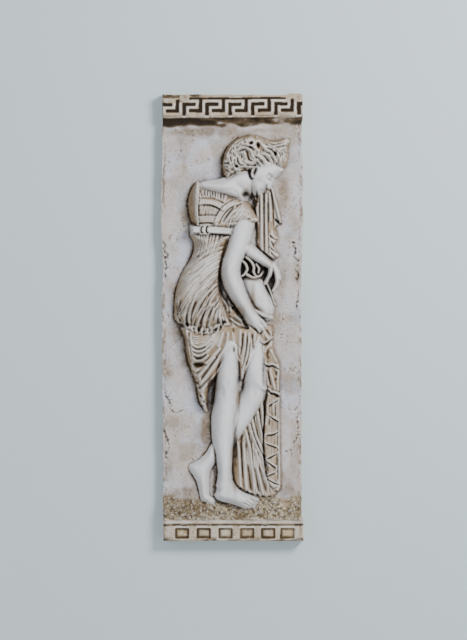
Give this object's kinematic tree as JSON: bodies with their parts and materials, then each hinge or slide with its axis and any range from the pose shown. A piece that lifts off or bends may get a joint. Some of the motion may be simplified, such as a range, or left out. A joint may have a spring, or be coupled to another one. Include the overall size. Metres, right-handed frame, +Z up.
{
  "type": "wall plaque",
  "caption": "Tall cast wall plaque in relief: a draped woman in classical dress with a water jar, a key-pattern band above her and rough ground over a band of blocks below.",
  "frame": {"origin": "centre of the flat back face, at half the plaque's height and width", "axes": "+Z up the plaque's height, +Y out of the back towards the wall, so the relief faces -Y; +X to the right seen from the front"},
  "size_m": [0.1778, 0.0401, 0.56],
  "materials": {
    "cast_stone": "cast resin and stone powder, matt, pale grey with a brown antiquing wash in the hollows"
  },
  "bodies": {
    "root": {"plaque": "cast_stone"}
  },
  "joints": []
}
